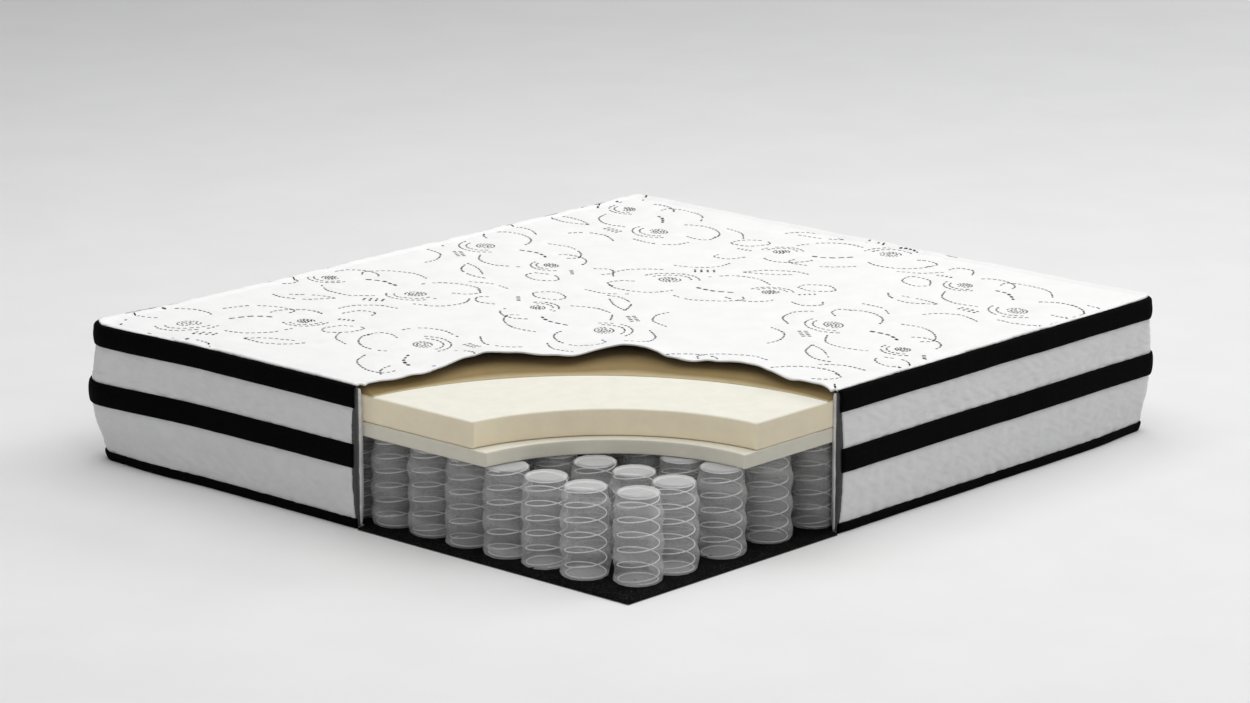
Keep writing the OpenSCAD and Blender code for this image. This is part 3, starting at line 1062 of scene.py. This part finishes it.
def make_quilt():
    step = 9 * MM
    plan = top_plan(step)
    heights = top_height(plan[0])
    knit = layer("quilted_top_knit", plan, heights, 1.4 * MM, 0.0, KNIT)
    wadding = layer("quilt_wadding_fibre", plan, heights - 1.5 * MM, 1.8 * MM, 2.5 * MM, WADDING)
    backing = layer("quilt_backing_cloth", plan, heights - 3.4 * MM, 0.6 * MM, 1.0 * MM, BACKING)
    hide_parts("top_ticking")
    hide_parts("quilt_wadding")
    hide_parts("quilt_backing")
    for piece, slot in ((knit, "top_knit"), (wadding, "quilt_wadding"), (backing, "quilt_backing")):
        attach(piece, TOP)


def dashes():
    """Middle, direction, and half length and width of each dash of the pattern."""
    pick = random.Random(5)
    spots, ways, sizes = [], [], []
    for line, weight in MOTIFS:
        step = np.linalg.norm(np.diff(line, axis=0), axis=1)
        way = np.concatenate([[0], np.cumsum(step)])
        pitch = (9.5 if weight < 0.85 else 15.0 if weight < 2 else 24.0) * MM
        for d in np.arange(pitch / 2, way[-1], pitch):
            # A stitch is missed here and there
            if pick.random() < 0.04:
                continue
            back, at, ahead = (np.array([np.interp(e, way, line[:, k]) for k in (0, 1)])
                               for e in (d - 2 * MM, d, d + 2 * MM))
            spots.append(at)
            ways.append((ahead - back) / max(np.linalg.norm(ahead - back), 1e-9))
            wide = (3.4 + 3.0 * weight) * MM * pick.uniform(0.85, 1.1)
            sizes.append((pitch * pick.uniform(0.66, 0.78) / 2, wide / 2))
    spots, ways, sizes = np.array(spots), np.array(ways), np.array(sizes)
    keep = on_top(spots, 12 * MM)
    return spots[keep], ways[keep], sizes[keep]


def make_pattern():
    """The dark dashes of the pattern, each a small flat bead of thread on the knit."""
    spots, ways, sizes = dashes()
    run = 4 * MM
    slopes = [(top_height(spots + d) - top_height(spots - d)) / (2 * run) for d in ((run, 0), (0, run))]
    ring = [(-1, 0), (-0.72, -0.8), (0.72, -0.8), (1, 0), (0.72, 0.8), (-0.72, 0.8)]
    faces = grid_faces(3, 6, wrap=True) + [list(range(6))[::-1], list(range(12, 18))]
    forms = []
    for at, way, (long, wide), z, sx, sy in zip(spread(spots), ways, sizes, top_height(spots), *slopes):
        side = np.array([-way[1], way[0]])
        verts = []
        for height, grow in ((-0.5 * MM, 1.0), (0.30 * MM, 1.0), (0.55 * MM, 0.6)):
            for u, v in ring:
                d = way * u * long * (grow * 0.25 + 0.75) + side * v * wide * grow
                verts.append((at[0] + d[0], at[1] + d[1], z + height + sx * d[0] + sy * d[1]))
        forms.append((np.array(verts), faces))
    piece = joined("pattern_stitches", forms, THREAD)
    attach(piece, TOP)


# ---- stage, light and camera

def make_stage():
    floor = Nodes("floor")
    floor.link(floor.ramp(floor.noise(3.0), grey(0.83), grey(0.85)), "Base Color")
    size = 40.0
    verts = [(-size, -size, 0), (size, -size, 0), (size, size, 0), (-size, size, 0)]
    piece = mesh_piece("studio_floor", verts, [(0, 1, 2, 3)], floor.finish(0.75))
    piece.location.z = -0.2 * MM

    world = bpy.data.worlds.new("studio")
    world.use_nodes = True
    inputs = world.node_tree.nodes["Background"].inputs
    inputs["Color"].default_value = (0.985, 0.99, 1.0, 1)
    inputs["Strength"].default_value = 0.34
    bpy.context.scene.world = world


def softbox(name, place, aim, size, power, colour=(1, 1, 1)):
    light = bpy.data.lights.new(name, "AREA")
    light.shape = "RECTANGLE"
    light.size, light.size_y = size
    light.energy = power
    light.color = colour
    lamp = bpy.data.objects.new(name, light)
    bpy.context.scene.collection.objects.link(lamp)
    lamp.location = place
    lamp.rotation_mode = "QUATERNION"
    lamp.rotation_quaternion = (Vector(place) - Vector(aim)).to_track_quat("Z", "Y")


def make_lights():
    softbox("overhead", (-0.2, 0.5, 5.5), (-0.2, 0.1, 0.3), (6.5, 6.5), 229, (1.0, 0.998, 0.99))
    softbox("right_fill", (5.5, -3.0, 2.6), (0.3, -0.2, 0.15), (2.6, 2.2), 40)
    softbox("left_fill", (-3.2, -6.0, 2.4), (-0.2, -0.4, 0.15), (2.6, 2.0), 30)
    softbox("far_right", (5.0, 13.0, 7.0), (4.0, 10.0, 0.0), (7.0, 7.0), 900)


def make_camera():
    azimuth, elevation, distance = math.radians(42.4), math.radians(14.5), 11.842
    aim = Vector((-0.2555, 0.2453, 0.15))
    back = Vector((math.sin(azimuth) * math.cos(elevation), -math.cos(azimuth) * math.cos(elevation),
                   math.sin(elevation)))
    camera = bpy.data.objects.new("camera", bpy.data.cameras.new("camera"))
    bpy.context.scene.collection.objects.link(camera)
    camera.data.sensor_width = 36.0
    camera.data.lens = 130.7
    camera.data.clip_end = 200.0
    camera.location = aim + back * distance
    camera.rotation_mode = "QUATERNION"
    camera.rotation_quaternion = back.to_track_quat("Z", "Y")
    bpy.context.scene.camera = camera


make_stage()
make_lights()
make_camera()
bpy.context.scene.view_settings.view_transform = "Standard"

make_base()
make_springs()
make_slab("transition_foam_slab", "transition_foam", transition_cut, SLAB_WHITE)
make_slab("memory_foam_slab", "memory_foam", memory_cut, CREAM, 5 * MM)
make_comfort_foam()
make_border()
make_tapes()
make_quilt()
make_pattern()
